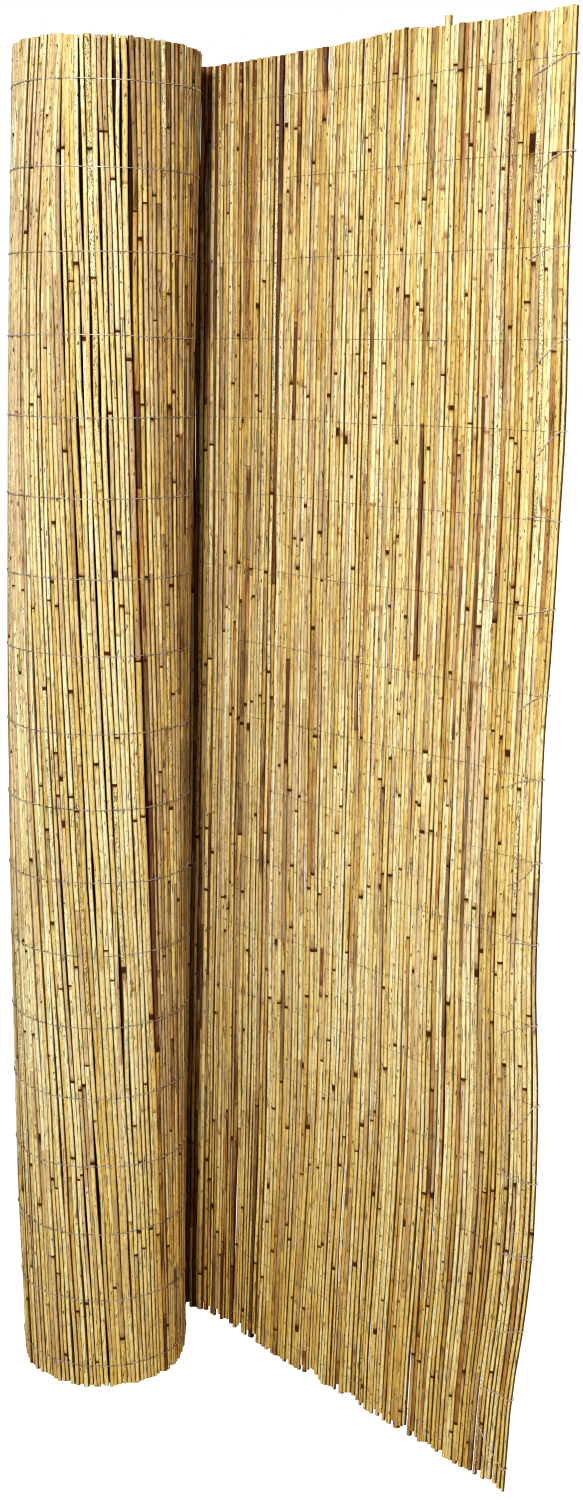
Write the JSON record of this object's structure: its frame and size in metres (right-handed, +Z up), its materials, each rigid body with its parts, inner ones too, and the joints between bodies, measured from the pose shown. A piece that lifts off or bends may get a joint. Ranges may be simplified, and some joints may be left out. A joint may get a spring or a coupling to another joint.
{
  "type": "reed screening roll",
  "caption": "Upright roll of natural reed screening bound with galvanised wire, its outermost stretch unrolled as a straight flap.",
  "frame": {"origin": "on the axis of the wound roll's open middle, at the level that the roll stands on", "axes": "+Z up along the reeds, +X along the straight flap towards its free end, +Y from the roll's axis towards the flap's plane"},
  "size_m": [0.7696, 0.3004, 1.8],
  "materials": {
    "reed": "natural dry reed stems, satin straw yellow with brown nodes and dull papery sheaths",
    "reed_inner": "cut ends of the wound inner turns of reed, straw with dark hollows",
    "wire": "galvanised binding wire, dull silver grey"
  },
  "bodies": {
    "root": {"roll": "reed_inner", "turn_reeds": "reed", "quarter_reeds": "reed", "flap_reeds": "reed", "wire_01": "wire", "wire_02": "wire", "wire_03": "wire", "wire_04": "wire", "wire_05": "wire", "wire_06": "wire", "wire_07": "wire", "wire_08": "wire", "wire_09": "wire", "wire_10": "wire", "wire_11": "wire", "wire_12": "wire", "wire_13": "wire", "wire_14": "wire", "wire_15": "wire", "wire_16": "wire", "wire_17": "wire", "wire_18": "wire"}
  },
  "joints": []
}
